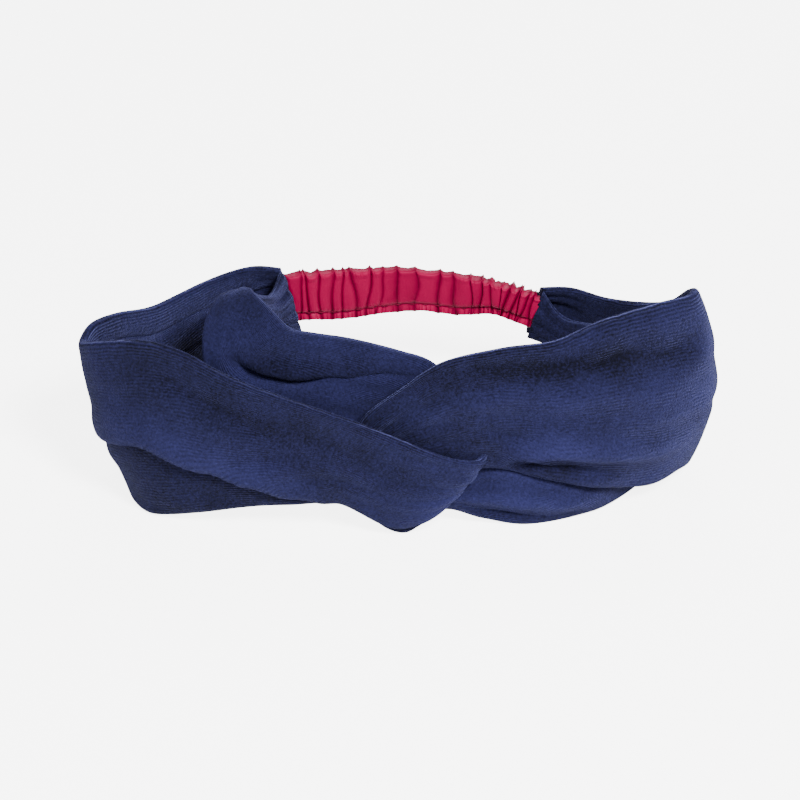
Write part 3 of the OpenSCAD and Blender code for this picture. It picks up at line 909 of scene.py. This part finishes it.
def cuff_rows(points, columns, row, side):
    """Starts, ends and ways out of a row of stitches up a cuff, across the strap."""
    w, face, _ = tube_share(columns)
    starts, ends, outs = [], [], []
    width = np.linalg.norm(points[row, 0] - points[row, columns // 2])
    half = sizes().stitch_length / 2 / width
    for i in range(CUFF_STITCHES):
        share = (i + 0.8) / (CUFF_STITCHES + 0.6)
        starts.append(on_tube(points, w, face, row, share - half, side)[0])
        ends.append(on_tube(points, w, face, row, share + half, side)[0])
        outs.append(on_tube(points, w, face, row, share, side)[1])
    return starts, ends, outs


# ---------------------------------------------------------------- stage


def area_light(name, place, target, size, power):
    data = bpy.data.lights.new(name, "AREA")
    data.shape = "DISK"
    data.size = size
    data.energy = power
    lamp = bpy.data.objects.new(name, data)
    lamp.location = place
    lamp.rotation_euler = (Vector(target) - Vector(place)).to_track_quat("-Z", "Y").to_euler()
    bpy.context.scene.collection.objects.link(lamp)


class HEADBAND_OT_straps(bpy.types.Operator):
    """Make the two velvet straps that hook round each other at the front"""

    bl_idname = "headband.straps"
    bl_label = "Straps"

    def execute(self, context):
        velvet = velvet_material()
        for name, bend in BENDS.items():
            make_strap(f"{name}_strap", velvet, *STRAPS[name], bend,
                       [f"{name}_strap_front", f"{name}_outer_tail", f"{name}_inner_tail"])
        return {"FINISHED"}


class HEADBAND_OT_casing(bpy.types.Operator):
    """Make the two halves of the ruched satin casing"""

    bl_idname = "headband.casing"
    bl_label = "Casing"

    def execute(self, context):
        points, uv, hollow, u, run = casing_shape()
        cut = int(np.searchsorted(u, CASING_SPLIT))
        for side, rows, length in (("left", slice(0, cut + 1), run[cut]),
                                   ("right", slice(cut, None), run[-1] - run[cut])):
            piece = make_casing_half(f"casing_{side}_half", rows, points, uv, hollow)
            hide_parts(f"casing_{side}")
        return {"FINISHED"}


class HEADBAND_OT_elastic(bpy.types.Operator):
    """Make the two halves of the woven elastic inside the casing"""

    bl_idname = "headband.elastic"
    bl_label = "Elastic"

    def execute(self, context):
        material = elastic_material()
        last = len(CASING_ROUTE) - 1
        for side, start, stop in (("left", 0, CASING_SPLIT), ("right", CASING_SPLIT, last)):
            points, uv, length = tape_shape(start, stop)
            piece = tube_piece(f"elastic_{side}_half", [outwards(points, uv)], material)
            stretch(piece)
            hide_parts(f"elastic_{side}")
        return {"FINISHED"}


class HEADBAND_OT_stitching(bpy.types.Operator):
    """Make the seams, the rows of stitches and the tacks that hold the elastic"""

    bl_idname = "headband.stitching"
    bl_label = "Stitching"

    def execute(self, context):
        navy = thread_material("navy thread", look().navy_nap)
        red = thread_material("crimson thread", [c * 0.6 for c in look().crimson])
        white = thread_material("white thread", look().white)
        pitch = sizes().stitch_length + sizes().stitch_gap
        for side, bend in BENDS.items():
            route, folds, nap, way, seed, wing = STRAPS[side]
            points = strap_shape(route, folds, nap, way, seed)[0]
            u, _ = even_steps(route, 0, len(route) - 1, STRAP_ROWS)
            rows = np.searchsorted(u, SEAM_STEPS)
            runs = seam(points, STRAP_COLUMNS, rows, 0.5, SEAM_FACE[side], pitch, 0.3 * MM)
            piece = tube_piece(f"{side}_closing_seam_thread", stitch_tubes(*runs), navy)
            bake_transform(piece)
            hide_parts(f"{side}_closing_seam")

            first, final = np.searchsorted(u, [CUFF_STEP, len(route) - 1 - CUFF_STEP])
            outer = cuff_rows(points, STRAP_COLUMNS, first, 1)
            inner = cuff_rows(points, STRAP_COLUMNS, final, INNER_FACE[side])
            both = [a + b for a, b in zip(outer, inner)]
            piece = tube_piece(f"{side}_joint_thread", stitch_tubes(*both), navy)
            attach(piece, wing)
            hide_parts(f"{side}_joint_stitches")

        points, _, _, u, _ = casing_shape()
        width = np.linalg.norm(points[:, 0] - points[:, CASING_COLUMNS // 2], axis=1).mean()
        share = sizes().ruffle_height / width
        first, final = CASING_SEAM_STEPS
        for side, span in (("left", (first, CASING_SPLIT)), ("right", (CASING_SPLIT, final))):
            rows = np.searchsorted(u, span)
            runs = seam(points, CASING_COLUMNS, rows, share, 1, pitch)
            piece = tube_piece(f"casing_thread_{side}", stitch_tubes(*runs), red)
            stretch(piece)
            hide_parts(f"casing_stitches_{side}")

        for side, at in (("left", TACK_STEP), ("right", len(CASING_ROUTE) - 1 - TACK_STEP)):
            ribbon = Ribbon(CASING_ROUTE, np.array([at, at + 0.01]), 1)
            middle = (ribbon.top[0] + ribbon.low[0]) / 2
            lift = sizes().elastic_thickness / 2 * ribbon.out[0]
            third = sizes().elastic_width / 3
            centres = [middle - lift + ribbon.up[0] * third * k for k in (-1, 0, 1)]
            half = ribbon.up[0] * third * 0.35
            tubes = stitch_tubes([c - half for c in centres], [c + half for c in centres],
                                 [-ribbon.out[0]] * 3)
            piece = tube_piece(f"{side}_tack_thread", tubes, white)
            stretch(piece)
            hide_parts(f"{side}_elastic_tack")
        return {"FINISHED"}


class HEADBAND_OT_stage(bpy.types.Operator):
    """Make the floor, the lights, the sky and the camera"""

    bl_idname = "headband.stage"
    bl_label = "Stage"

    def execute(self, context):
        scene = context.scene
        signs = ((-1, -1), (1, -1), (1, 1), (-1, 1))
        corners = [(x * FLOOR_SIZE, y * FLOOR_SIZE, 0) for x, y in signs]
        mesh = bpy.data.meshes.new("floor")
        mesh.from_pydata(corners, [], [(0, 1, 2, 3)])
        mesh.materials.append(floor_material())
        floor = bpy.data.objects.new("floor", mesh)
        scene.collection.objects.link(floor)

        world = bpy.data.worlds.new("studio")
        world.use_nodes = True
        sky = world.node_tree.nodes["Background"]
        sky.inputs["Color"].default_value = (1, 1, 1, 1)
        sky.inputs["Strength"].default_value = SKY_STRENGTH
        scene.world = world

        middle = (0, 0, 0.03)
        area_light("key", (0.5, -0.95, 1.1), middle, 0.45, 50)
        area_light("fill", (-0.9, -0.7, 0.8), middle, 0.8, 6)
        area_light("rim", (0.1, 1.0, 0.9), middle, 0.7, 8)

        camera = bpy.data.objects.new("camera", bpy.data.cameras.new("camera"))
        camera.data.lens = LENS
        camera.data.sensor_width = SENSOR
        camera.location = CAMERA_PLACE
        camera.rotation_euler = (CAMERA_TILT, 0, 0)
        scene.collection.objects.link(camera)
        scene.camera = camera
        return {"FINISHED"}


class HEADBAND_PT_panel(bpy.types.Panel):
    """Sizes, colours and steps of the headband"""

    bl_label = "Knotted headband"
    bl_idname = "HEADBAND_PT_panel"
    bl_space_type = "VIEW_3D"
    bl_region_type = "UI"
    bl_category = "Headband"

    def draw(self, context):
        layout = self.layout
        for group in (context.scene.headband_sizes, context.scene.headband_look):
            box = layout.box()
            for name in group.__annotations__:
                box.prop(group, name)
        for operator in OPERATORS:
            layout.operator(operator.bl_idname)


OPERATORS = (HEADBAND_OT_straps, HEADBAND_OT_casing, HEADBAND_OT_elastic, HEADBAND_OT_stitching,
             HEADBAND_OT_stage)
CLASSES = (HeadbandSizes, HeadbandLook, *OPERATORS, HEADBAND_PT_panel)


def register():
    for cls in CLASSES:
        bpy.utils.register_class(cls)
    bpy.types.Scene.headband_sizes = PointerProperty(type=HeadbandSizes)
    bpy.types.Scene.headband_look = PointerProperty(type=HeadbandLook)


def unregister():
    del bpy.types.Scene.headband_look
    del bpy.types.Scene.headband_sizes
    for cls in reversed(CLASSES):
        bpy.utils.unregister_class(cls)


def main():
    register()
    bpy.ops.headband.stage()
    bpy.ops.headband.straps()
    bpy.ops.headband.casing()
    bpy.ops.headband.elastic()
    bpy.ops.headband.stitching()


if __name__ == "__main__":
    main()
